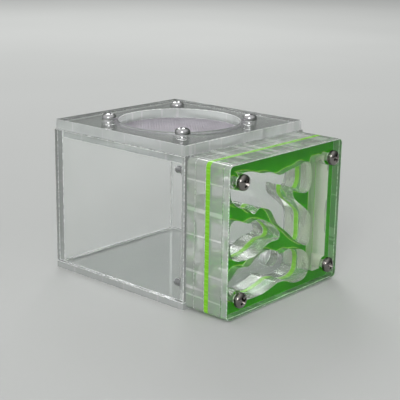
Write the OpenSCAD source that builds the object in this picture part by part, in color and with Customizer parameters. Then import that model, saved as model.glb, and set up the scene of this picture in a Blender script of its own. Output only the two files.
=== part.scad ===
// Ant habitat: a clear foraging box with a lift-off vented lid, and a screwed
// nest block of stacked sheets on its front wall.
// Millimetres. +Z is up, -Y is the viewing side of the nest, and the origin is
// at the middle of the underside of the whole object.

/* [Foraging box] */
// Outer width of the box, side to side
box_w = 71; // [58:0.5:90]
// Outer length of the box, front wall to back wall
box_l = 71; // [58:0.5:120]
// Height of the box without its lid
box_h = 58.5; // [48:0.5:80]
// Thickness of the four walls
wall_t = 3; // [2.5:0.5:4]
// Thickness of the floor
floor_t = 3; // [2:0.5:4]

/* [Lid] */
// How far the lid's edge stands in from the outer faces of the walls
lid_inset = 0.5; // [0:0.25:1]
// Thickness of the lid plate
lid_t = 4; // [3:0.5:5]
// Thickness of the locating plate under the lid
insert_t = 3; // [2:0.5:4]
// Gap between the locating plate and the walls, on each side
insert_gap = 0.4; // [0.2:0.1:0.8]
// Width of lid left beside the vent at its narrowest
vent_margin = 10.5; // [8:0.5:14]
// Gap between the rim of the vent and the heads of the screws round it
vent_head_gap = 0.8; // [0.4:0.1:1.5]

/* [Vent mesh] */
// Thickness of the mesh
mesh_t = 0.3; // [0.2:0.1:0.6]
// Width of mesh that is clamped outside the vent
mesh_grip = 2; // [1:0.25:2.5]
// Distance from one wire to the next
mesh_pitch = 3.2; // [2.8:0.1:5]
// Width of a wire
wire_w = 0.6; // [0.3:0.05:0.9]

/* [Nest block] */
// How far each side of the nest block stands in from the side of the box
nest_side_inset = 1.2; // [0:0.1:3]
// Height of the underside of the nest block above the ground
nest_lift = 0.8; // [0.2:0.1:2]
// How far the top of the nest block lies below the top of the box
nest_top_drop = 0.2; // [0:0.1:2]
// Corner radius of the nest sheets
nest_corner_r = 2; // [0.5:0.25:3]
// Thickness of the clear back plate, next to the box
back_plate_t = 4; // [3:0.5:6]
// Thickness of the clear base plate, behind the green sheet
base_plate_t = 5; // [4:0.5:8]
// Thickness of the green sheet
green_t = 2; // [1:0.5:3]
// Thickness of the tunnel plate
tunnel_plate_t = 6; // [4:0.5:10]
// Thickness of the clear cover
cover_t = 3; // [2:0.5:4]
// Wall of solid sheet left round each screw where it passes a chamber
boss_wall = 1.6; // [1:0.1:2]
// Width of the web that ties each of these walls to the edge of its sheet
boss_web_w = 3; // [2:0.5:4]
// Diameter of the passage between nest and box
passage_d = 8; // [5:0.5:9]

/* [Water slot] */
// Width of the water slot
slot_w = 9; // [6:0.5:10]
// Corner radius of the water slot
slot_corner_r = 1.5; // [0.5:0.25:2.5]
// Width of sheet between the water slot and the right edge of the nest
slot_margin = 6.6; // [6:0.1:8]
// Width of sheet above and below the water slot
slot_end_margin = 5.5; // [4:0.5:8]

/* [Fasteners] */
// Diameter of the screw shanks
shank_d = 3; // [2.5:0.5:3]
// Diameter of the pan heads
head_d = 6; // [5:0.5:6.5]
// Height of the pan heads
head_h = 2.4; // [1.8:0.1:3]
// Height of the straight side of a pan head
head_side_h = 1.1; // [0.6:0.1:1.5]
// How far the lid screws reach past their nuts
lid_screw_past_nut = 0.3; // [-0.5:0.1:2]
// How far the nest screws reach past their nuts
nest_screw_past_nut = 4.6; // [-0.5:0.1:5]
// Width of the hexagon nuts across their flats
nut_flats = 5.5; // [4.5:0.5:6]
// Height of the nuts
nut_h = 2.4; // [1.8:0.1:3]
// Play of a screw in its clearance hole, all round
hole_play = 0.1; // [0.05:0.05:0.3]
// Play of a screw in its nut, all round, in place of the thread
thread_play = 0.02; // [0.01:0.01:0.1]
// Gap between the nest nuts and the side walls of the box
nut_side_gap = 1.8; // [0.5:0.1:4]
// Gap between the lower nest nuts and the floor
nut_floor_gap = 1.4; // [0.5:0.1:4]
// Gap between the upper nest nuts and the locating plate of the lid
nut_lid_gap = 0.5; // [0.3:0.1:2]

/* [Hidden] */
$fn = 36;

clear = [0.90, 0.95, 0.93, 0.35];
frosted = [0.82, 0.87, 0.84, 0.45];
green = [0.25, 0.72, 0.05];
steel = [0.72, 0.72, 0.73];
eps = 0.01;

// Lengthwise layout: the box at the back, then the sheets, then the heads
sheet_t = [back_plate_t, base_plate_t, green_t, tunnel_plate_t, cover_t];
function sum(list, count) = count == 0 ? 0 : list[count - 1] + sum(list, count - 1);
nest_depth = sum(sheet_t, len(sheet_t));
total_l = box_l + nest_depth + head_h;
box_back_y = total_l / 2;
box_front_y = box_back_y - box_l;
box_mid_y = (box_back_y + box_front_y) / 2;
cover_front_y = box_front_y - nest_depth;

// Lid
lid_w = box_w - 2 * lid_inset;
lid_l = box_l - 2 * lid_inset;
insert_w = box_w - 2 * (wall_t + insert_gap);
insert_l = box_l - 2 * (wall_t + insert_gap);
insert_top_z = box_h - mesh_t;
insert_bottom_z = insert_top_z - insert_t;
vent_r = min(lid_w, lid_l) / 2 - vent_margin;
mesh_r = vent_r + mesh_grip;
lid_screw_xy = (vent_r + vent_head_gap + head_d / 2) / sqrt(2);

// Nest block
nest_w = box_w - 2 * nest_side_inset;
nest_h = box_h - nest_top_drop - nest_lift;

// Fasteners
head_r = head_d / 2;
hole_r = shank_d / 2 + hole_play;
nut_corner_r = nut_flats / 2 / cos(30);
nut_bore_r = shank_d / 2 + thread_play;
lid_screw_l = lid_t + mesh_t + insert_t + nut_h + lid_screw_past_nut;
nest_screw_l = nest_depth + wall_t + nut_h + nest_screw_past_nut;
nest_screw_x = box_w / 2 - wall_t - nut_side_gap - nut_corner_r;
nest_screw_low_z = floor_t + nut_floor_gap + nut_corner_r;
nest_screw_high_z = insert_bottom_z - nut_lid_gap - nut_corner_r;

// Crown of a pan head, as two cones, and its cross recess
cone_h = (head_h - head_side_h) / 2;
shoulder_r = 0.85 * head_r;
crown_r = 0.5 * head_r;
recess_w = 0.6 * head_d;
recess_slot = 0.16 * head_d;
recess_depth = 0.6 * head_h;

// Chamber outlines, seen from the viewing side: x from the middle of the nest
// and height from its underside. They are drawn for a nest of drawn_h, with its
// left edge at -drawn_left and a field of drawn_field_w between that edge and
// the water slot, and they stretch with that field.
drawn_left = 34.3;
drawn_field_w = 53;
drawn_h = 57.5;
field_w = nest_w - slot_margin - slot_w;
upper_chamber_points = [
    [-32, 47], [-32, 50], [-30, 52.5], [-25, 53.5], [-20, 53], [-14.5, 51.5],
    [-9, 51], [-3.5, 49], [2.5, 50], [7.5, 50.5], [12, 51.5], [15.5, 50],
    [16.5, 45], [16, 41], [13, 39], [7.5, 40.5], [5, 42.5], [5, 39.5],
    [7, 37], [12, 33.5], [16.5, 29.5], [17, 24], [17, 19.5], [15, 17.5],
    [12, 18.5], [7, 21.5], [1.5, 26], [-4, 30], [-8.5, 36], [-12.5, 38],
    [-15.5, 38.5], [-18.5, 37], [-23, 40], [-27, 41], [-31, 44]];
middle_chamber_points = [
    [-32, 34], [-30, 36.5], [-26.5, 36], [-21.5, 34], [-18, 34.5],
    [-14, 34], [-9.5, 32], [-5, 29], [-2.5, 26], [-3.5, 24], [-8, 24],
    [-11.5, 23], [-14.5, 21.5], [-18.5, 20.5], [-24.5, 20.5], [-29.5, 22],
    [-31.5, 26]];
lower_chamber_points = [
    [-32, 13.5], [-29.5, 16], [-27, 18], [-24, 18], [-20.5, 17.5],
    [-17, 19.5], [-13, 21], [-8, 21], [-4, 19.5], [-1, 18], [3, 18.5],
    [6.5, 17.5], [10, 17], [13.5, 15.5], [16.5, 12.5], [17, 8.5], [16, 5],
    [12.5, 3.5], [7, 4], [2, 6], [-2.5, 6.5], [-6.5, 5.5], [-12, 4.5],
    [-18.5, 4.5], [-24, 5], [-30.5, 8.5]];
passage_point = [10.5, 10.5];
curve_steps = 4;

function on_nest(p) = [-nest_w / 2 + (p[0] + drawn_left) * field_w / drawn_field_w,
                       p[1] * nest_h / drawn_h];

// Closed smooth curve through the points, by the Catmull-Rom rule
function curve(p, steps) = let (n = len(p)) [
    for (i = [0 : n - 1], k = [0 : steps - 1])
        let (a = p[(i + n - 1) % n], b = p[i], c = p[(i + 1) % n],
             d = p[(i + 2) % n], t = k / steps)
        0.5 * (2 * b + (c - a) * t + (2 * a - 5 * b + 4 * c - d) * t * t
               + (3 * b - a - 3 * c + d) * t * t * t)];

module rounded_rect(w, h, r) {
    translate([-w / 2 + r, 0]) square([w - 2 * r, h]);
    translate([-w / 2, r]) square([w, h - 2 * r]);
    for (x = [-w / 2 + r, w / 2 - r], y = [r, h - r])
        translate([x, y]) circle(r);
}

// Centres of the nest screws, as x and height above the underside of the nest
module at_nest_screws() {
    for (x = [-nest_screw_x, nest_screw_x], z = [nest_screw_low_z, nest_screw_high_z])
        translate([x, z - nest_lift]) children();
}

// Webs from the lower screws down and from the upper ones up
module boss_webs() {
    low_h = nest_screw_low_z - nest_lift;
    high_h = nest_screw_high_z - nest_lift;
    for (x = [-nest_screw_x, nest_screw_x], span = [[0, low_h], [high_h, nest_h]])
        translate([x - boss_web_w / 2, span[0]]) square([boss_web_w, span[1] - span[0]]);
}

module chambers() {
    difference() {
        union() {
            for (points = [upper_chamber_points, middle_chamber_points, lower_chamber_points])
                polygon(curve([for (p = points) on_nest(p)], curve_steps));
            translate([nest_w / 2 - slot_margin - slot_w / 2, slot_end_margin])
                rounded_rect(slot_w, nest_h - 2 * slot_end_margin, slot_corner_r);
        }
        at_nest_screws() circle(hole_r + boss_wall);
        boss_webs();
    }
}

// One sheet of the nest block, counted from the box, cut by the 2-D children
module nest_sheet(index) {
    thickness = sheet_t[index];
    translate([0, box_front_y - sum(sheet_t, index), nest_lift])
        rotate([90, 0, 0])
            linear_extrude(thickness)
                difference() {
                    rounded_rect(nest_w, nest_h, nest_corner_r);
                    at_nest_screws() circle(hole_r);
                    children();
                }
}

module passage() {
    translate(on_nest(passage_point)) circle(d = passage_d);
}

module at_lid_screws() {
    for (x = [-1, 1], y = [-1, 1])
        translate([x * lid_screw_xy, box_mid_y + y * lid_screw_xy, 0]) children();
}

// Cross-recessed pan-head screw: the underside of its head at z = 0, head up
module pan_head_screw(length) {
    difference() {
        union() {
            cylinder(r = head_r, h = head_side_h);
            translate([0, 0, head_side_h])
                cylinder(r1 = head_r, r2 = shoulder_r, h = cone_h);
            translate([0, 0, head_side_h + cone_h])
                cylinder(r1 = shoulder_r, r2 = crown_r, h = cone_h);
            translate([0, 0, -length]) cylinder(d = shank_d, h = length + head_side_h / 2);
        }
        for (turn = [0, 90])
            rotate(turn)
                translate([-recess_w / 2, -recess_slot / 2, head_h - recess_depth])
                    cube([recess_w, recess_slot, recess_depth + eps]);
    }
}

module hex_nut() {
    difference() {
        cylinder(r = nut_corner_r, h = nut_h, $fn = 6);
        translate([0, 0, -eps]) cylinder(r = nut_bore_r, h = nut_h + 2 * eps);
    }
}

module floor_panel() {
    color(clear)
        translate([-box_w / 2, box_front_y, 0]) cube([box_w, box_l, floor_t]);
}

module side_wall(x) {
    color(clear)
        translate([x, box_front_y, floor_t]) cube([wall_t, box_l, box_h - floor_t]);
}

module left_wall() {
    side_wall(-box_w / 2);
}

module right_wall() {
    side_wall(box_w / 2 - wall_t);
}

// Front and back walls stand between the side walls
module cross_wall(y) {
    translate([-box_w / 2 + wall_t, y, floor_t])
        cube([box_w - 2 * wall_t, wall_t, box_h - floor_t]);
}

module back_wall() {
    color(clear) cross_wall(box_back_y - wall_t);
}

module front_wall() {
    color(clear)
        difference() {
            cross_wall(box_front_y);
            translate([0, box_front_y + wall_t + eps, nest_lift])
                rotate([90, 0, 0])
                    linear_extrude(wall_t + 2 * eps) {
                        at_nest_screws() circle(hole_r);
                        passage();
                    }
        }
}

// A square plate of the lid with the vent and the screw holes through it
module vented_plate(w, l, bottom_z, thickness) {
    difference() {
        translate([-w / 2, box_mid_y - l / 2, bottom_z]) cube([w, l, thickness]);
        translate([0, box_mid_y, bottom_z - eps]) cylinder(r = vent_r, h = thickness + 2 * eps);
        at_lid_screws()
            translate([0, 0, bottom_z - eps]) cylinder(r = hole_r, h = thickness + 2 * eps);
    }
}

module lid_plate() {
    color(clear) vented_plate(lid_w, lid_l, box_h, lid_t);
}

module lid_insert() {
    color(clear) vented_plate(insert_w, insert_l, insert_bottom_z, insert_t);
}

module vent_mesh() {
    gap = mesh_pitch - wire_w;
    reach = floor(vent_r / mesh_pitch);
    color(steel)
        translate([0, box_mid_y, insert_top_z])
            linear_extrude(mesh_t)
                difference() {
                    circle(mesh_r);
                    for (i = [-reach : reach], j = [-reach : reach])
                        if (norm([i, j]) * mesh_pitch + gap / sqrt(2) < vent_r)
                            translate([i * mesh_pitch, j * mesh_pitch])
                                square(gap, center = true);
                }
}

module lid_screws() {
    color(steel)
        at_lid_screws() translate([0, 0, box_h + lid_t]) pan_head_screw(lid_screw_l);
}

module lid_nuts() {
    color(steel)
        at_lid_screws() translate([0, 0, insert_bottom_z - nut_h]) hex_nut();
}

module nest_back_plate() {
    color(clear) nest_sheet(0) passage();
}

module nest_base_plate() {
    color(frosted) nest_sheet(1) chambers();
}

module green_sheet() {
    color(green) nest_sheet(2) chambers();
}

module tunnel_plate() {
    color(frosted) nest_sheet(3) chambers();
}

module cover_plate() {
    color(clear) nest_sheet(4);
}

module nest_screws() {
    color(steel)
        for (x = [-nest_screw_x, nest_screw_x], z = [nest_screw_low_z, nest_screw_high_z])
            translate([x, cover_front_y, z]) rotate([90, 0, 0]) pan_head_screw(nest_screw_l);
}

module nest_nuts() {
    color(steel)
        for (x = [-nest_screw_x, nest_screw_x], z = [nest_screw_low_z, nest_screw_high_z])
            translate([x, box_front_y + wall_t + nut_h, z]) rotate([90, 0, 0]) hex_nut();
}

floor_panel();
left_wall();
right_wall();
back_wall();
front_wall();
lid_plate();
lid_insert();
vent_mesh();
lid_screws();
lid_nuts();
nest_back_plate();
nest_base_plate();
green_sheet();
tunnel_plate();
cover_plate();
nest_screws();
nest_nuts();
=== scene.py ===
# %% [markdown]
# # An ant habitat of clear sheets
# The object is a small box of clear acrylic with a vented lid, and a nest block of
# stacked sheets screwed to its front. Nearly everything is glass-like, so its looks
# come from three things: true wall thickness, cut edges that differ from the polished
# faces, and sheets pressed together so closely that light goes straight through both.
#
# The construction comes in as a fixed frame. The lesson copies its sheets, refines
# them, and models the screws, nuts and woven mesh anew.

# %% Load the fixed frame
import math

import bmesh
import bpy
from mathutils import Matrix, Vector


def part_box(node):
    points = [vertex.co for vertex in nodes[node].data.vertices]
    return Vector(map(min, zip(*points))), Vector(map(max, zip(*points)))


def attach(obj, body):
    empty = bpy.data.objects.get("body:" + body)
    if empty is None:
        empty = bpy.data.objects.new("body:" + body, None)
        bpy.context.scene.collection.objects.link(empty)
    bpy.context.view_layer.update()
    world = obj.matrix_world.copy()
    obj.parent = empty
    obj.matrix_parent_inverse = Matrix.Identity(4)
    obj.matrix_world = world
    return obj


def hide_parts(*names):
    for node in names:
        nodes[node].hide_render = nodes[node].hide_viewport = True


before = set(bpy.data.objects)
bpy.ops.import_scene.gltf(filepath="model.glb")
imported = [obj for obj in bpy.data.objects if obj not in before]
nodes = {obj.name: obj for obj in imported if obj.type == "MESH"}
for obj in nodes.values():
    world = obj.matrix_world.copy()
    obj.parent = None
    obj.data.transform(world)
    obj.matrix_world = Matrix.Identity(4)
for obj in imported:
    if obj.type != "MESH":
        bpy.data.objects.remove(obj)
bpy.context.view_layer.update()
MM = 0.001
scene = bpy.context.scene
print("The frame has", len(nodes), "nodes")

# %% [markdown]
# ## Render settings
# A look through the nest crosses five sheets, and each has two faces. Light paths
# that end early would leave black patches there, so the limits on bounces go up.
# Filter Glossy is off, because it takes clear glass for frosted glass after a
# bounce, and what lies under or behind the sheets would go dark.
# Standard keeps colours as they are written.

# %% Light paths and colour
scene.view_settings.view_transform = "Standard"
scene.cycles.max_bounces = 40
scene.cycles.transmission_bounces = 40
scene.cycles.glossy_bounces = 12
scene.cycles.diffuse_bounces = 4
scene.cycles.transparent_max_bounces = 24
scene.cycles.blur_glossy = 0

# %% [markdown]
# ## Camera
# The camera stands where the photograph was taken from: to the left of the nest,
# higher than the lid, and turned by about one degree. Its place and angles were
# worked out from the corners of the box. A camera looks along its own -Z, so its
# axes are built from the direction of view and then turned by the roll.

# %% Place the camera
CAMERA_PLACE = Vector((-292.1, -258.4, 138.9)) * MM
CAMERA_YAW = math.radians(-48.55)
CAMERA_PITCH = math.radians(15.46)
CAMERA_ROLL = math.radians(0.96)
CAMERA_LENS = 90.2

forward = Vector((-math.sin(CAMERA_YAW) * math.cos(CAMERA_PITCH),
                  math.cos(CAMERA_YAW) * math.cos(CAMERA_PITCH),
                  -math.sin(CAMERA_PITCH)))
level_right = Vector((math.cos(CAMERA_YAW), math.sin(CAMERA_YAW), 0))
level_up = level_right.cross(forward)
right = math.cos(CAMERA_ROLL) * level_right + math.sin(CAMERA_ROLL) * level_up
up = right.cross(forward)

camera_data = bpy.data.cameras.new("camera")
camera_data.sensor_width = 36
camera_data.lens = CAMERA_LENS
camera_data.clip_start = 10 * MM
camera_data.clip_end = 20
camera = bpy.data.objects.new("camera", camera_data)
scene.collection.objects.link(camera)
camera.matrix_world = Matrix.Translation(CAMERA_PLACE) @ Matrix(
    (right, up, -forward)).transposed().to_4x4()
scene.camera = camera
print("Camera at", [round(v, 3) for v in CAMERA_PLACE])

# %% [markdown]
# ## Small helpers
# Operators act on whatever is selected, so each step first selects one object.
# Faces are picked in code, by a test on their place or direction. A normal is one
# unit long, so its share along an axis is near one where the face looks that way, and
# FACING is the least that counts.

# %% Select, edit and copy
X, Y, Z = 0, 1, 2
FACING = 0.99


def alone(obj):
    """Select one object and nothing else."""
    if bpy.context.mode != "OBJECT":
        bpy.ops.object.mode_set(mode="OBJECT")
    bpy.ops.object.select_all(action="DESELECT")
    obj.select_set(True)
    bpy.context.view_layer.objects.active = obj
    return obj


def edit(obj):
    """Enter edit mode with everything selected."""
    alone(obj)
    bpy.ops.object.mode_set(mode="EDIT")
    bpy.ops.mesh.select_mode(type="FACE")
    bpy.ops.mesh.select_all(action="SELECT")


def pick(obj, test):
    """Enter edit mode with just the faces selected that pass the test."""
    edit(obj)
    bpy.ops.mesh.select_all(action="DESELECT")
    mesh = bmesh.from_edit_mesh(obj.data)
    for face in mesh.faces:
        face.select_set(test(face))
    bmesh.update_edit_mesh(obj.data)


def done():
    """Leave edit mode."""
    bpy.ops.object.mode_set(mode="OBJECT")
    return bpy.context.object


def copy_of(obj, name):
    """A copy with its own mesh, with its origin at the origin of the frame."""
    piece = bpy.data.objects.new(name, obj.data.copy())
    scene.collection.objects.link(piece)
    return piece


def corners_of(low, high, axes, insets):
    """The four points that lie inset from the corners of a box, along two axes."""
    (a, b), (inset_a, inset_b) = axes, insets
    return [(u, v) for v in (low[b] + inset_b, high[b] - inset_b)
            for u in (low[a] + inset_a, high[a] - inset_a)]


# %% [markdown]
# A modifier is applied as soon as it is set, so that the next step works on the real
# mesh. Bevels and booleans leave a few specks behind, and those that are smaller than
# SPECK are collapsed.

# %% Modifiers, booleans and shading
SPECK = 0.003 * MM


def modify(obj, kind, **settings):
    """Add a modifier, set it and apply it."""
    alone(obj)
    bpy.ops.object.modifier_add(type=kind)
    modifier = obj.modifiers[-1]
    for name, value in settings.items():
        setattr(modifier, name, value)
    bpy.ops.object.modifier_apply(modifier=modifier.name)
    return obj


def bevel(obj, width, segments, sharper_than):
    """Bevel the edges that are sharper than an angle, in degrees."""
    return modify(obj, "BEVEL", width=width, segments=segments, limit_method="ANGLE",
                  angle_limit=math.radians(sharper_than))


def cut_with(obj, tool, operation="DIFFERENCE"):
    """Combine an object with a tool by a boolean, and throw the tool away."""
    modify(obj, "BOOLEAN", operation=operation, solver="EXACT", object=tool)
    bpy.data.objects.remove(tool)
    return obj


def clean(obj):
    """Collapse the specks that bevels and booleans leave behind."""
    edit(obj)
    bpy.ops.mesh.dissolve_degenerate(threshold=SPECK)
    return done()


def shade(obj, degrees):
    """Smooth shading over the edges that are shallower than an angle, in degrees."""
    alone(obj)
    bpy.ops.object.shade_smooth_by_angle(angle=math.radians(degrees))
    return obj


# %% [markdown]
# ## Finishes
# Every finish is a Principled shader with a few nodes that give it life. All
# patterns read Object coordinates, in metres, so a scale of 1000 means features of
# about a millimetre.

# %% Node helpers


def finish(name, **values):
    """A new material, with plain values set on its Principled shader."""
    material = bpy.data.materials.new(name)
    material.use_nodes = True
    shader = material.node_tree.nodes["Principled BSDF"]
    for key, value in values.items():
        shader.inputs[key.replace("_", " ")].default_value = value
    return material


def add_node(owner, kind, **values):
    """A new node of a material or world, with values set on its inputs, or else on itself."""
    node = owner.node_tree.nodes.new(kind)
    for key, value in values.items():
        label = key.replace("_", " ")
        if label in node.inputs:
            node.inputs[label].default_value = value
        else:
            setattr(node, key, value)
    return node


def link(owner, source, target):
    owner.node_tree.links.new(source, target)


# %% [markdown]
# A pattern may drive a number, the colour or the bump of the shader. What is the same
# all over a surface is set on the shader itself.

# %% Patterns and what they drive


def pattern(material, scale, detail=3, stretch=(1, 1, 1)):
    """A noise on Object coordinates, stretched along the axes."""
    place = add_node(material, "ShaderNodeTexCoord")
    mapping = add_node(material, "ShaderNodeMapping", Scale=stretch)
    noise = add_node(material, "ShaderNodeTexNoise", Scale=scale, Detail=detail)
    link(material, place.outputs["Object"], mapping.inputs["Vector"])
    link(material, mapping.outputs["Vector"], noise.inputs["Vector"])
    return noise.outputs["Fac"]


def vary(material, source, socket, low, high, dark=0.35, light=0.65):
    """Drive a shader socket from low to high as the pattern goes from dark to light."""
    spread = add_node(material, "ShaderNodeMapRange", From_Min=dark, From_Max=light,
                      To_Min=low, To_Max=high)
    shader = material.node_tree.nodes["Principled BSDF"]
    link(material, source, spread.inputs["Value"])
    link(material, spread.outputs["Result"], shader.inputs[socket])


def tint(material, source, dark_colour, light_colour, dark=0.35, light=0.65):
    """Drive the base colour between two colours as the pattern goes from dark to light."""
    spread = add_node(material, "ShaderNodeMapRange", From_Min=dark, From_Max=light)
    mix = add_node(material, "ShaderNodeMix", data_type="RGBA")
    colours = [s for s in mix.inputs if s.type == "RGBA"]
    colours[0].default_value = (*dark_colour, 1)
    colours[1].default_value = (*light_colour, 1)
    shader = material.node_tree.nodes["Principled BSDF"]
    link(material, source, spread.inputs["Value"])
    link(material, spread.outputs["Result"], mix.inputs["Factor"])
    link(material, next(s for s in mix.outputs if s.type == "RGBA"), shader.inputs["Base Color"])


def thin_lines(material, source, width):
    """White lines on black, where a slow pattern passes its middle value."""
    ramp = add_node(material, "ShaderNodeValToRGB")
    stops = ramp.color_ramp.elements
    stops[0].position = 0.5 - width
    stops[1].position = 0.5 + width
    stops[1].color = (0, 0, 0, 1)
    stops.new(0.5).color = (1, 1, 1, 1)
    link(material, source, ramp.inputs["Fac"])
    return ramp.outputs["Color"]


def relief(material, source, depth):
    """Bump from a pattern, with its depth in metres."""
    bump = add_node(material, "ShaderNodeBump", Strength=1.0, Distance=depth)
    shader = material.node_tree.nodes["Principled BSDF"]
    link(material, source, bump.inputs["Height"])
    link(material, bump.outputs["Normal"], shader.inputs["Normal"])


# %% [markdown]
# ### Clear acrylic
# The faces of a sheet are as cast: glossy, with faint smudges in the gloss and a
# slow waviness that shows only in reflections. The studio is paler than most rooms
# and would fill them with its reflection, so the specular tint turns that down.
#
# Where two sheets are pressed together, light goes straight on as if they were one.
# They could be joined into one solid, but then they would no longer be separate
# pieces. A face whose index of refraction is one lets light go straight on too. With
# the index of acrylic there, each pair of faces would mirror the pale floor, and the
# green behind them would look grey.

# %% Clear faces and pressed faces
ACRYLIC_IOR = 1.49


def clear_face():
    material = finish("clear_face", Transmission_Weight=1.0, IOR=ACRYLIC_IOR,
                      Specular_Tint=(0.3, 0.3, 0.3, 1))
    smudges = pattern(material, 60, 5)
    vary(material, smudges, "Roughness", 0.0, 0.03, 0.5, 0.75)
    tint(material, smudges, (0.985, 0.995, 0.99), (0.97, 0.98, 0.975))
    relief(material, pattern(material, 18, 1), 0.05 * MM)
    return material


def pressed_face():
    material = finish("pressed_face", Transmission_Weight=1.0, IOR=1.0, Roughness=0.0)
    tint(material, pattern(material, 60, 5), (0.985, 0.995, 0.99), (0.97, 0.98, 0.975))
    return material


CLEAR_FACE = clear_face()
PRESSED_FACE = pressed_face()
print("Clear acrylic has an index of refraction of", ACRYLIC_IOR)

# %% [markdown]
# A cut edge is where a cutter went through. It is hazy, with fine lines and a few white
# marks that run straight across the thickness; the white marks are partly cutter marks
# and partly painted glints. A noise that is stretched along one axis gives both, and
# fits every edge without being laid out on it. The edges of the nest let less light
# through and have the most marks, which stand out a little: there they are painted
# glints, for the chamber walls that catch the light behind the edge. The sharp corners
# between a face and an edge are scraped off by hand, which leaves a thin white line
# round each sheet; its whiteness is partly the scraping and partly a painted highlight
# where the corner catches the light.

# %% Cut edges and scraped corners
STRETCH = 0.02


def across(axis):
    """Scales that draw a pattern out into lines along an axis."""
    return tuple(STRETCH if i == axis else 1 for i in range(3))


def cut_edge(axis):
    material = finish("cut_edge_" + "xyz"[axis], Transmission_Weight=0.7, IOR=ACRYLIC_IOR)
    lines = pattern(material, 900, 2, across(axis))
    # The white stripes are partly cutter marks and partly painted glints.
    stripes = thin_lines(material, pattern(material, 70, 2, across(axis)), 0.012)
    vary(material, lines, "Roughness", 0.09, 0.18)
    tint(material, stripes, (0.82, 0.85, 0.835), (1.0, 1.0, 1.0), 0, 0.6)
    relief(material, lines, 0.0015 * MM)
    return material


def nest_edge():
    material = finish("nest_edge", Transmission_Weight=0.6, IOR=ACRYLIC_IOR)
    lines = pattern(material, 500, 2, across(Y))
    # The white stripes are painted glints of the chamber walls behind the edge.
    stripes = thin_lines(material, pattern(material, 110, 2, across(Y)), 0.027)
    vary(material, lines, "Roughness", 0.04, 0.13)
    tint(material, stripes, (0.6, 0.63, 0.6), (1.0, 1.0, 1.0), 0, 0.5)
    relief(material, stripes, 0.04 * MM)
    return material


def scraped_corner_with_highlight():
    # The whitish tint is partly the scraping and partly a painted highlight along the corner.
    material = finish("scraped_corner_with_highlight", Transmission_Weight=0.5, IOR=ACRYLIC_IOR)
    scratches = pattern(material, 1200, 3)
    vary(material, scratches, "Roughness", 0.2, 0.35)
    tint(material, scratches, (0.88, 0.90, 0.89), (0.98, 0.98, 0.98))
    relief(material, scratches, 0.004 * MM)
    return material


CUT_EDGES = [cut_edge(axis) for axis in (X, Y, Z)]
NEST_EDGE = nest_edge()
SCRAPED_CORNER_WITH_HIGHLIGHT = scraped_corner_with_highlight()
print("Cut edges, by the axis of their lines:", [edge.name for edge in CUT_EDGES])

# %% [markdown]
# The walls of the chambers are cut as well, but fairly smooth, and what lies behind
# them shows as a soft blur. The walls of the water slot are rougher and let about half
# of the light through, which makes them milky.

# %% Walls of the chambers and of the water slot


def chamber_wall():
    material = finish("chamber_wall", Transmission_Weight=0.79, IOR=ACRYLIC_IOR)
    clouds = pattern(material, 150, 2)
    vary(material, clouds, "Roughness", 0.10, 0.2)
    tint(material, clouds, (0.78, 0.80, 0.76), (0.95, 0.95, 0.92))
    relief(material, pattern(material, 400, 2, across(Y)), 0.0015 * MM)
    return material


def slot_wall():
    material = finish("slot_wall", Transmission_Weight=0.45, IOR=ACRYLIC_IOR)
    clouds = pattern(material, 90, 3, (1, 1, 0.3))
    vary(material, clouds, "Roughness", 0.25, 0.38)
    tint(material, clouds, (0.70, 0.73, 0.62), (0.82, 0.84, 0.74))
    relief(material, pattern(material, 600, 2, across(Y)), 0.002 * MM)
    return material


CHAMBER_WALL = chamber_wall()
SLOT_WALL = slot_wall()
print("Inner walls:", CHAMBER_WALL.name, "and", SLOT_WALL.name)

# %% [markdown]
# ### Green acrylic
# The green sheet is dyed right through with a fluorescent dye. Its face is a deep,
# nearly solid green, pressed between its neighbours on both sides. Its edges gather
# the light that the whole sheet takes in, so they glow yellow-green. A Principled
# shader has no fluorescence, and a little emission stands in for it.

# %% Green faces and glowing edges


def green_face():
    material = finish("green_face", Transmission_Weight=0.06, IOR=1.0)
    clouds = pattern(material, 45, 3)
    vary(material, clouds, "Roughness", 0.03, 0.09)
    tint(material, clouds, (0.035, 0.38, 0.0003), (0.045, 0.44, 0.0005))
    return material


def green_edge():
    material = finish("green_edge", IOR=ACRYLIC_IOR, Emission_Color=(0.2, 0.6, 0.005, 1),
                      Emission_Strength=0.18)
    lines = pattern(material, 1500, 3, across(Y))
    vary(material, lines, "Roughness", 0.15, 0.35)
    tint(material, lines, (0.13, 0.39, 0.006), (0.18, 0.46, 0.015))
    relief(material, lines, 0.01 * MM)
    return material


GREEN_FACE = green_face()
GREEN_EDGE = green_edge()

# %% [markdown]
# ### Metals
# The screws and nuts are polished stainless steel with fine turning marks. The heads
# on the face of the nest take a darker copy of the steel, with a touch of bronze; the
# darkness is painted shade, for the dark surroundings that they would mirror. The wire
# of the mesh is duller, and a touch lilac.

# %% Polished steel and wire


def polished_steel(name, dark_colour, light_colour):
    material = finish(name, Metallic=1.0)
    stripes = pattern(material, 2500, 4, (1, 1, 3))
    vary(material, stripes, "Roughness", 0.05, 0.14)
    tint(material, stripes, dark_colour, light_colour)
    relief(material, stripes, 0.004 * MM)
    return material


def mesh_wire():
    material = finish("mesh_wire", Metallic=0.7)
    dullness = pattern(material, 160, 4)
    vary(material, dullness, "Roughness", 0.3, 0.5)
    tint(material, dullness, (0.44, 0.415, 0.46), (0.54, 0.51, 0.56))
    return material


STEEL = polished_steel("polished_steel", (0.44, 0.44, 0.44), (0.54, 0.54, 0.55))
# Painted shade: a darker copy of the same steel, for the heads on the nest's face.
SHADED_STEEL = polished_steel("shaded_steel", (0.215, 0.20, 0.185), (0.26, 0.25, 0.24))
WIRE = mesh_wire()

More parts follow.
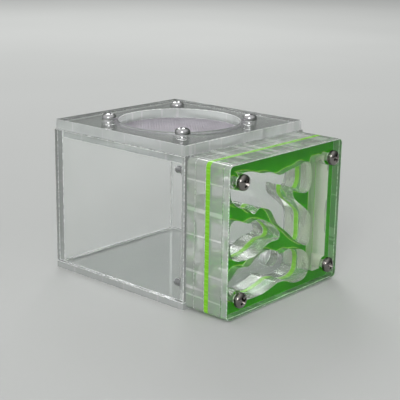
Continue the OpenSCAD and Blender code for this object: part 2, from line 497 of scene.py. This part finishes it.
# %% [markdown]
# ## Sheets
# Each sheet could be modelled anew from a box, but its chambers would have to be drawn
# again. So it starts as a copy of its node in the frame, whose loose triangles are
# merged into flat faces. Where two sheets touch, their faces would share one place,
# and a ray could not tell one from the other. Each sheet is therefore drawn in by a few
# hundredths of a millimetre, which leaves a film of air too thin to see.

# %% Copy and draw in a sheet
AIR_FILM = 0.03 * MM
MERGE_DISTANCE = 0.001 * MM
FLAT_DEGREES = 0.5


def copy_of_node(node, name):
    piece = copy_of(nodes[node], name)
    piece.data.materials.clear()
    edit(piece)
    bpy.ops.mesh.customdata_custom_splitnormals_clear()
    bpy.ops.mesh.remove_doubles(threshold=MERGE_DISTANCE)
    bpy.ops.mesh.dissolve_limited(angle_limit=math.radians(FLAT_DEGREES))
    return done()


def draw_in(piece, low, high, film):
    size = high - low
    edit(piece)
    bpy.ops.transform.resize(value=[(s - 2 * film) / s for s in size],
                             center_override=(low + high) / 2)
    return done()


# %% [markdown]
# A face gets its finish by where it lies. One in the plane where a sheet is pressed
# to its neighbour is a pressed face, and other large faces are clear faces. A slanted
# one is a scraped corner. Those near the outline are edges, and the rest are inner
# walls. In the plates of the nest, the inner walls of the water slot differ from those
# of the chambers. The six kinds of face are also the order of a sheet's finishes.

# %% Tell the kinds of face apart
PRESSED, CLEAR, SLANTED, EDGE, INNER, SLOT = range(6)
POCKET_DEPTH = 0.02 * MM
RIM = 1.0 * MM
LEAST_SLANT, MOST_SLANT = 0.1, 0.98
SLOT_WIDTH = 9.0 * MM
SLOT_MARGIN = 6.6 * MM


def on_rim(face, low, high, axis):
    """True for the outer edge faces of a sheet, false for walls further in."""
    centre = face.center
    return any(min(centre[i] - low[i], high[i] - centre[i]) < RIM
               for i in range(3) if i != axis)


def is_pressed(face, low, high, axis, sides):
    """True for a face in the plane of a side, front or back, that meets a neighbour."""
    planes = {"front": low[axis] + AIR_FILM, "back": high[axis] - AIR_FILM}
    return abs(face.normal[axis]) > FACING and any(
        abs(face.center[axis] - planes[side]) < POCKET_DEPTH / 2 for side in sides)


def in_water_slot(face, high):
    """True for a wall of the slot that runs down the right side of the nest."""
    right_end = high.x - SLOT_MARGIN
    return right_end - SLOT_WIDTH - POCKET_DEPTH < face.center.x < right_end + POCKET_DEPTH


def kind_of_face(face, axis, low, high, pressed_sides, has_slot):
    """Which of the six kinds a face of a sheet is, by its place and direction."""
    towards_axis = abs(face.normal[axis])
    if is_pressed(face, low, high, axis, pressed_sides):
        return PRESSED
    if towards_axis > MOST_SLANT:
        return CLEAR
    if towards_axis > LEAST_SLANT:
        return SLANTED
    if on_rim(face, low, high, axis):
        return EDGE
    if has_slot and in_water_slot(face, high):
        return SLOT
    return INNER


# %% [markdown]
# A small bevel breaks every sharp edge, because that is where clear plastic catches
# the light. Weighted normals keep the large faces flat beside their smooth bevels.

# %% Make one sheet
SHEET_SMOOTH_DEGREES = 40


def smooth_sheet(piece):
    """Smooth shading over the bevels, with the large flat faces kept flat."""
    return modify(shade(piece, SHEET_SMOOTH_DEGREES), "WEIGHTED_NORMAL", keep_sharp=True)


def make_sheet(node, axis, corner, body, pressed_sides=(), pocket=None, finishes=None):
    """A finished sheet: corner is the width of its bevel, and pocket a shape sunk into it."""
    low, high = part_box(node)
    piece = copy_of_node(node, node + "_sheet")
    draw_in(piece, low, high, AIR_FILM)
    bevel(piece, corner, segments=3, sharper_than=35)
    if pocket:
        cut_with(piece, pocket)
    edge = CUT_EDGES[axis]
    finishes = finishes or [PRESSED_FACE, CLEAR_FACE, SCRAPED_CORNER_WITH_HIGHLIGHT, edge, edge]
    for material in finishes:
        piece.data.materials.append(material)
    for face in piece.data.polygons:
        face.material_index = kind_of_face(face, axis, low, high, pressed_sides,
                                           has_slot=len(finishes) > SLOT)
    smooth_sheet(piece)
    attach(piece, body)
    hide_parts(node)
    print(piece.name, len(piece.data.polygons), "faces")
    return piece


# %% [markdown]
# ### The box and the lid
# X, Y and Z below are the axis along which each sheet is thin. The plates of the lid
# have wider scraped corners than the panels of the box.

# %% Make the panels of the box and the plates of the lid
PANEL_BEVEL = 0.15 * MM
LID_BEVEL = 0.3 * MM

for panel, axis in (("floor_panel", Z), ("left_wall", X), ("right_wall", X),
                    ("back_wall", Y), ("front_wall", Y)):
    make_sheet(panel, axis, PANEL_BEVEL, "habitat")
for plate in ("lid_plate", "lid_insert"):
    make_sheet(plate, Z, LID_BEVEL, "lid")

# %% [markdown]
# ### The nest block
# The chambers are cut through the tunnel plate, the green sheet and the base plate.
# These three are pressed together all over. The cover in front and the back plate
# behind are pressed to them as well, but over the chambers they face open air. To
# tell the two areas apart, the chamber outlines are sunk into them by a hair: the
# empty space of the chambers is cut out as a solid, and a thin slice of it is taken
# out of each face.

# %% Cut the space of the chambers out as a solid
HEAD_D = 6 * MM
HEAD_INSETS = (HEAD_D / 2, HEAD_D / 2)
HOLE_REACH = 2 * MM
SLICE_T = 0.4 * MM


def chamber_space():
    """A block within the outline of the tunnel plate, less the plate and its screw holes."""
    low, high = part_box("tunnel_plate")
    plate = draw_in(copy_of_node("tunnel_plate", "cutter"), low, high, AIR_FILM)
    size = high - low - Vector((2 * RIM, (high.y - low.y) / 2, 2 * RIM))
    bpy.ops.object.select_all(action="DESELECT")
    bpy.ops.mesh.primitive_cube_add(size=1, location=(low + high) / 2, scale=size)
    bpy.ops.object.transform_apply()
    space = cut_with(bpy.context.object, plate)
    axes = corners_of(*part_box("nest_screws"), (X, Z), HEAD_INSETS)
    pick(space, lambda face: any(
        max(math.hypot(v.co.x - x, v.co.z - z) for v in face.verts) < HOLE_REACH
        for x, z in axes))
    bpy.ops.mesh.delete(type="FACE")
    return done()


def pocket_slice(space, plane_y, inward):
    """A slice of the chambers that reaches into a sheet, from its face in a plane."""
    piece = copy_of(space, "pocket")
    ys = [vertex.co.y for vertex in piece.data.vertices]
    middle = (min(ys) + max(ys)) / 2
    target = plane_y + inward * (POCKET_DEPTH - SLICE_T / 2)
    edit(piece)
    bpy.ops.transform.resize(value=(1, SLICE_T / (max(ys) - min(ys)), 1),
                             center_override=(0, middle, 0))
    bpy.ops.transform.translate(value=(0, target - middle, 0))
    return done()


# %% [markdown]
# Each chamber has a thin bright green outline where its rim catches the light. It is a
# painted highlight: an inset of the front face makes a narrow strip round every hole,
# and that strip takes the glowing finish of the edges.

# %% Paint a highlight round the rims of the holes
RIM_HIGHLIGHT = 0.3 * MM


def paint_rim_highlights(piece):
    low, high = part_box("green_sheet")
    pick(piece, lambda face: face.normal.y < -FACING)
    bpy.ops.mesh.inset(thickness=RIM_HIGHLIGHT, use_select_inset=True)
    done()
    # The strip round each hole gets the glowing edge finish: a painted highlight.
    for face in piece.data.polygons:
        if face.select and not on_rim(face, low, high, Y):
            face.material_index = EDGE
    smooth_sheet(piece)


# %% [markdown]
# The cover and the back plate have wider scraped corners than the three sheets between
# them, whose holes would lose their crisp outline under a wide bevel.

# %% Make the nest sheets
SHEET_BEVEL = 0.25 * MM
PLATE_BEVEL = 0.08 * MM
GREEN_BEVEL = 0.1 * MM
space = chamber_space()
cover_pocket = pocket_slice(space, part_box("cover_plate")[1].y - AIR_FILM, -1)
back_pocket = pocket_slice(space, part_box("nest_back_plate")[0].y + AIR_FILM, 1)
bpy.data.objects.remove(space)

make_sheet("cover_plate", Y, SHEET_BEVEL, "habitat", ["back"], cover_pocket)
make_sheet("nest_back_plate", Y, SHEET_BEVEL, "habitat", ["front"], back_pocket,
           finishes=[PRESSED_FACE, CLEAR_FACE, SCRAPED_CORNER_WITH_HIGHLIGHT, NEST_EDGE, CHAMBER_WALL])
for plate in ("nest_base_plate", "tunnel_plate"):
    make_sheet(plate, Y, PLATE_BEVEL, "habitat", ["front", "back"], finishes=[
        PRESSED_FACE, CLEAR_FACE, SCRAPED_CORNER_WITH_HIGHLIGHT, NEST_EDGE, CHAMBER_WALL, SLOT_WALL])
green_sheet = make_sheet("green_sheet", Y, GREEN_BEVEL, "habitat",
                         ["front", "back"], finishes=[GREEN_FACE] * 2 + [GREEN_EDGE] * 3)
paint_rim_highlights(green_sheet)

# %% [markdown]
# ## Screws
# A pan-head screw is a cylinder whose top face is inset and raised in steps along an
# ellipse, which makes a dome with a small flat on top. A cross of two tapered bars is
# cut out of it. Each bar stands a little proud of the head, so that the cut is clean.

# %% Model the head, with its underside at the origin
HEAD_H = 2.4 * MM
HEAD_SIDE_H = 0.9 * MM
DOME_STEPS = 7
DOME_ANGLE = math.radians(76)
RECESS_SPAN = 3.7 * MM
RECESS_SLOT = 0.95 * MM
RECESS_DEPTH = 1.5 * MM
RECESS_TAPER = (0.45, 0.7, 1)
BAR_EXTRA = 1.02
HEAD_ROUNDING = 0.07 * MM


def add_cylinder(radius, depth, base_z, vertices=48):
    bpy.ops.mesh.primitive_cylinder_add(vertices=vertices, radius=radius, depth=depth,
                                        location=(0, 0, base_z + depth / 2))
    bpy.ops.object.transform_apply()
    return bpy.context.object


def domed_head():
    head = add_cylinder(HEAD_D / 2, HEAD_SIDE_H, 0)
    pick(head, lambda face: face.normal.z > FACING)
    radius, height = HEAD_D / 2, 0
    for step in range(1, DOME_STEPS + 1):
        angle = DOME_ANGLE * step / DOME_STEPS
        next_radius = HEAD_D / 2 * math.cos(angle)
        next_height = (HEAD_H - HEAD_SIDE_H) * math.sin(angle) / math.sin(DOME_ANGLE)
        bpy.ops.mesh.inset(thickness=radius - next_radius, depth=next_height - height)
        radius, height = next_radius, next_height
    return done()


def recess_bar(turn):
    """A bar that is narrower and shorter at its lower end."""
    bpy.ops.mesh.primitive_cube_add(size=1, location=(0, 0, HEAD_H - RECESS_DEPTH / 2),
                                    scale=(RECESS_SPAN, RECESS_SLOT, RECESS_DEPTH * BAR_EXTRA))
    bpy.ops.object.transform_apply()
    bar = bpy.context.object
    pick(bar, lambda face: face.normal.z < -FACING)
    bpy.ops.transform.resize(value=RECESS_TAPER, center_override=(0, 0, HEAD_H - RECESS_DEPTH))
    done()
    bar.data.transform(Matrix.Rotation(math.radians(turn), 4, "Z"))
    return bar


def recessed_head():
    head = domed_head()
    for turn in (0, 90):
        cut_with(head, recess_bar(turn))
    return bevel(head, HEAD_ROUNDING, segments=2, sharper_than=32)


# %% [markdown]
# The thread could be bump on a plain shank, but the screws end in the clear box, where
# their outline shows. So it is a true helix: a small profile swept by the Screw
# modifier, and joined to a plain core. Half the width of the profile, at its root and
# at its crest, is given in pitches. The profile reaches a little way into the core,
# and the core is turned by a quarter of one of its sides, so that no edges of the two
# coincide. The end of the core is inset and pushed out by a hair, so that it isn't
# quite flat.

# %% Model the thread and join it to the head
SHANK_D = 3 * MM
NECK = HEAD_H / 3
TIP_INSET = 0.35 * MM
TIP_RISE = 0.02 * MM
THREAD_PITCH = 0.5 * MM
THREAD_DEPTH = 0.28 * MM
ROOT_OVERLAP = 0.05 * MM
ROOT_HALF = 0.42
CREST_HALF = 0.1
TURN_STEPS = 24
CORE_SIDES = TURN_STEPS * 2


def thread_ridge(length):
    """A ridge with a narrow flat crest, swept along a helix and closed at both ends."""
    bpy.ops.mesh.primitive_circle_add(vertices=4, radius=THREAD_PITCH / 2)
    ridge = bpy.context.object
    root = SHANK_D / 2 - THREAD_DEPTH - ROOT_OVERLAP
    crest = SHANK_D / 2
    corners = ((root, ROOT_HALF), (crest, CREST_HALF), (crest, -CREST_HALF), (root, -ROOT_HALF))
    for vertex, (radius, rise) in zip(ridge.data.vertices, corners):
        vertex.co = (radius, 0, rise * THREAD_PITCH)
    turns = int((length - NECK) / THREAD_PITCH) - 1
    modify(ridge, "SCREW", axis="Z", screw_offset=-THREAD_PITCH, iterations=turns,
           steps=TURN_STEPS, render_steps=TURN_STEPS)
    edit(ridge)
    bpy.ops.mesh.select_mode(type="EDGE")
    bpy.ops.mesh.fill_holes(sides=4)
    bpy.ops.mesh.select_all(action="SELECT")
    bpy.ops.mesh.normals_make_consistent(inside=False)
    bpy.ops.transform.translate(value=(0, 0, -NECK - THREAD_PITCH / 2))
    return done()


def threaded_shank(length):
    core = add_cylinder(SHANK_D / 2 - THREAD_DEPTH, length + HEAD_SIDE_H / 2, -length, CORE_SIDES)
    core.data.transform(Matrix.Rotation(2 * math.pi / CORE_SIDES / 4, 4, "Z"))
    pick(core, lambda face: face.normal.z < -FACING)
    bpy.ops.mesh.inset(thickness=TIP_INSET, depth=0)
    bpy.ops.transform.translate(value=(0, 0, -TIP_RISE))
    done()
    return cut_with(core, thread_ridge(length), "UNION")


def model_screw(length, head_finish):
    """One screw, with its own finish on the head and bright steel on the thread."""
    screw = clean(cut_with(recessed_head(), threaded_shank(length), "UNION"))
    screw.data.materials.append(head_finish)
    screw.data.materials.append(STEEL)
    for face in screw.data.polygons:
        if face.center.z < -THREAD_PITCH / 2:
            face.material_index = 1
    return shade(screw, degrees=35)


# %% [markdown]
# Each screw is a copy with its own mesh, turned to an angle of its own, as screws end
# up. Its place comes from the frame: the four stand at the corners of the box round
# their node.

# %% Put the screws in place
SCREW_TURNS = (12, 55, 78, 33)
face_front = Matrix.Rotation(math.radians(90), 4, "X")


def place_copy(model, name, matrix, body, node):
    piece = copy_of(model, name)
    piece.data.transform(matrix)
    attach(piece, body)
    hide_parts(node)


low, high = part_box("lid_screws")
seat = high.z - HEAD_H
lid_screw = model_screw(seat - low.z, STEEL)
for i, (x, y) in enumerate(corners_of(low, high, (X, Y), HEAD_INSETS)):
    turn = Matrix.Rotation(math.radians(SCREW_TURNS[i]), 4, "Z")
    place_copy(lid_screw, f"lid_screw_{i + 1}", Matrix.Translation((x, y, seat)) @ turn,
               "lid", "lid_screws")

low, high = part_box("nest_screws")
seat = low.y + HEAD_H
# The heads of the nest screws take the steel with painted shade.
nest_screw = model_screw(high.y - seat, SHADED_STEEL)
for i, (x, z) in enumerate(corners_of(low, high, (X, Z), HEAD_INSETS)):
    turn = Matrix.Rotation(math.radians(SCREW_TURNS[3 - i]), 4, "Z")
    place_copy(nest_screw, f"nest_screw_{i + 1}",
               Matrix.Translation((x, seat, z)) @ face_front @ turn,
               "habitat", "nest_screws")
print("Each nest screw has", len(nest_screw.data.polygons), "faces")

# %% [markdown]
# ## Nuts
# A hexagon nut is turned from a bar, which leaves curved chamfers on its corners. A
# bevel can't give those. So the nut is a six-sided cylinder, crossed with a round one
# whose rims are bevelled. Then the bore is cut, and a small bevel rounds the edges
# that are left.

# %% Model one nut on the origin and place the copies
NUT_FLATS = 5.5 * MM
NUT_H = 2.4 * MM
NUT_BORE = 2.5 * MM
NUT_CHAMFER = 0.4 * MM
NUT_ROUNDING = 0.08 * MM
BLANK_EXTRA = 1.002
nut_corner = NUT_FLATS / 2 / math.cos(math.radians(30))


def model_nut():
    nut = add_cylinder(nut_corner, NUT_H, 0, vertices=6)
    round_blank = add_cylinder(nut_corner * BLANK_EXTRA, NUT_H, 0, vertices=72)
    bevel(round_blank, NUT_CHAMFER, segments=1, sharper_than=60)
    cut_with(nut, round_blank, "INTERSECT")
    cut_with(nut, add_cylinder(NUT_BORE / 2, NUT_H * 1.5, -NUT_H / 4, vertices=36))
    bevel(nut, NUT_ROUNDING, segments=2, sharper_than=50)
    nut.data.materials.append(STEEL)
    return shade(clean(nut), degrees=30)


nut = model_nut()
low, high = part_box("lid_nuts")
for i, (y, x) in enumerate(corners_of(low, high, (Y, X), (NUT_FLATS / 2, nut_corner))):
    place_copy(nut, f"lid_nut_{i + 1}", Matrix.Translation((x, y, low.z)),
               "lid", "lid_nuts")
low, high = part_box("nest_nuts")
for i, (z, x) in enumerate(corners_of(low, high, (Z, X), (NUT_FLATS / 2, nut_corner))):
    place_copy(nut, f"nest_nut_{i + 1}", Matrix.Translation((x, high.y, z)) @ face_front,
               "habitat", "nest_nuts")
print("Each nut has", len(nut.data.polygons), "faces")

# %% [markdown]
# ## Woven mesh
# The vent is closed by woven wire. A flat net would be lighter, but in a real weave
# each wire catches the light on its own. One wire is a six-sided tube, two crossings
# long. It is subdivided along its length and waved up and down, so that it passes over
# one crossing wire and under the next.

# %% One wire
WIRE_D = 0.15 * MM
WIRE_PITCH = 0.75 * MM
WAVE_CUTS = 3


def one_wire(start):
    """One wire along X over two crossings, over the first and under the second."""
    bpy.ops.mesh.primitive_cylinder_add(vertices=6, radius=WIRE_D / 2, depth=2 * WIRE_PITCH,
                                        rotation=(0, math.radians(90), 0), end_fill_type="NOTHING")
    bpy.ops.object.transform_apply()
    wire = bpy.context.object
    edit(wire)
    bpy.ops.mesh.select_all(action="DESELECT")
    bpy.ops.mesh.select_mode(type="EDGE")
    mesh = bmesh.from_edit_mesh(wire.data)
    for edge in mesh.edges:
        edge.select_set(abs(edge.verts[0].co.x - edge.verts[1].co.x) > WIRE_PITCH)
    bmesh.update_edit_mesh(wire.data)
    bpy.ops.mesh.subdivide(number_cuts=WAVE_CUTS)
    done()
    for vertex in wire.data.vertices:
        vertex.co.z += WIRE_D / 2 * math.sin(math.pi * vertex.co.x / WIRE_PITCH + start)
    return wire


# %% [markdown]
# Arrays repeat a pair of wires across the vent. The second wire of the pair is shifted
# by one crossing. Where the pieces of one wire meet, their ends are merged.

# %% A set of wires
MESH_MARGIN = 0.1 * MM
low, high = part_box("vent_mesh")
mesh_centre = (low + high) / 2
mesh_radius = (high.x - low.x) / 2 - MESH_MARGIN
repeats = 2 * math.ceil(mesh_radius / WIRE_PITCH / 2) + 1


def wire_set(start):
    """Wires along X that fill a square, each second one shifted by a crossing."""
    pair = one_wire(start)
    second = one_wire(start + math.pi)
    second.data.transform(Matrix.Translation((0, WIRE_PITCH, 0)))
    alone(pair)
    second.select_set(True)
    bpy.ops.object.join()
    for direction in ((2, 0, 0), (0, 2, 0)):
        modify(pair, "ARRAY", count=repeats, use_relative_offset=False,
               use_constant_offset=True, constant_offset_displace=Vector(direction) * WIRE_PITCH,
               use_merge_vertices=direction[0] > 0, merge_threshold=0.01 * MM)
    middle = (repeats - 0.5) * WIRE_PITCH
    pair.data.transform(Matrix.Translation((-middle + WIRE_PITCH / 2, -middle + WIRE_PITCH / 2, 0)))
    return pair


# %% [markdown]
# The second set is the same set, turned and shifted. What lies outside the round
# outline is deleted, and the cut ends are filled.

# %% Weave the mesh


def woven_mesh():
    warp = wire_set(math.pi / 2)
    weft = wire_set(-math.pi / 2)
    weft.data.transform(Matrix.Rotation(math.radians(90), 4, "Z"))
    alone(warp)
    weft.select_set(True)
    bpy.ops.object.join()
    pick(warp, lambda face: max(v.co.xy.length for v in face.verts) > mesh_radius)
    bpy.ops.mesh.delete(type="FACE")
    bpy.ops.mesh.select_mode(type="EDGE")
    bpy.ops.mesh.select_all(action="SELECT")
    bpy.ops.mesh.fill_holes(sides=0)
    bpy.ops.mesh.select_all(action="SELECT")
    bpy.ops.mesh.normals_make_consistent(inside=False)
    return done()


mesh = woven_mesh()
mesh.name = "vent_mesh_weave"
mesh.data.transform(Matrix.Translation(mesh_centre))
mesh.data.materials.append(WIRE)
shade(mesh, degrees=50)
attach(mesh, "lid")
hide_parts("vent_mesh")
print("The woven mesh has", len(mesh.data.polygons), "faces")

# %% Remove the models that the copies came from
for model in (lid_screw, nest_screw, nut):
    bpy.data.objects.remove(model)

# %% [markdown]
# ## Floor and light
# A pale floor fills the view. Its colour changes a little from place to place, so
# that it isn't lifeless behind the clear sheets.

# %% Floor
FLOOR_SIZE = 8.0
bpy.ops.object.select_all(action="DESELECT")
bpy.ops.mesh.primitive_plane_add(size=FLOOR_SIZE)
floor = bpy.context.object
floor.name = "floor"
floor_finish = finish("floor_finish", Roughness=0.9, Specular_IOR_Level=0.2)
tint(floor_finish, pattern(floor_finish, 3, 2), (0.48, 0.49, 0.48), (0.50, 0.51, 0.50))
floor.data.materials.append(floor_finish)
print("The floor is", FLOOR_SIZE, "m wide")

# %% [markdown]
# Clear plastic shows what surrounds it, so the light is plain and large. The world is
# brightest above and to the left, and darkens away from there: the dot product of the
# direction of view with the bright one says how much.

# %% World
BRIGHT_SIDE = (-0.42, -0.05, 0.9)
WORLD_STRENGTH = 0.85
world = bpy.data.worlds.new("studio")
world.use_nodes = True
scene.world = world
sky_place = add_node(world, "ShaderNodeTexCoord")
sky_slope = add_node(world, "ShaderNodeVectorMath", operation="DOT_PRODUCT")
sky_slope.inputs[1].default_value = BRIGHT_SIDE
sky_ramp = add_node(world, "ShaderNodeValToRGB")
dark_stop, bright_stop = sky_ramp.color_ramp.elements
dark_stop.position, dark_stop.color = 0.05, (0.14, 0.15, 0.14, 1)
bright_stop.position, bright_stop.color = 0.7, (1.0, 1.0, 1.0, 1)
background = world.node_tree.nodes["Background"]
background.inputs["Strength"].default_value = WORLD_STRENGTH
link(world, sky_place.outputs["Generated"], sky_slope.inputs[0])
link(world, sky_slope.outputs["Value"], sky_ramp.inputs["Fac"])
link(world, sky_ramp.outputs["Color"], background.inputs["Color"])
print("The world is brightest towards", BRIGHT_SIDE)

# %% [markdown]
# Two large lamps aim at the middle of the object. They make the soft highlights on
# bevels and screw heads.

# %% Lamps
LAMP_SIZE = 0.6
LAMP_TARGET = Vector((0, 0, 30)) * MM


def add_lamp(name, place, power):
    data = bpy.data.lights.new(name, "AREA")
    data.shape = "SQUARE"
    data.size = LAMP_SIZE
    data.energy = power
    lamp = bpy.data.objects.new(name, data)
    scene.collection.objects.link(lamp)
    lamp.location = place
    lamp.rotation_mode = "QUATERNION"
    lamp.rotation_quaternion = (LAMP_TARGET - Vector(place)).to_track_quat("-Z", "Y")
    print(name, "has", power, "watts")


add_lamp("key_lamp", (-1.1, -0.7, 0.8), power=10)
add_lamp("back_lamp", (0.8, 0.9, 0.9), power=7)
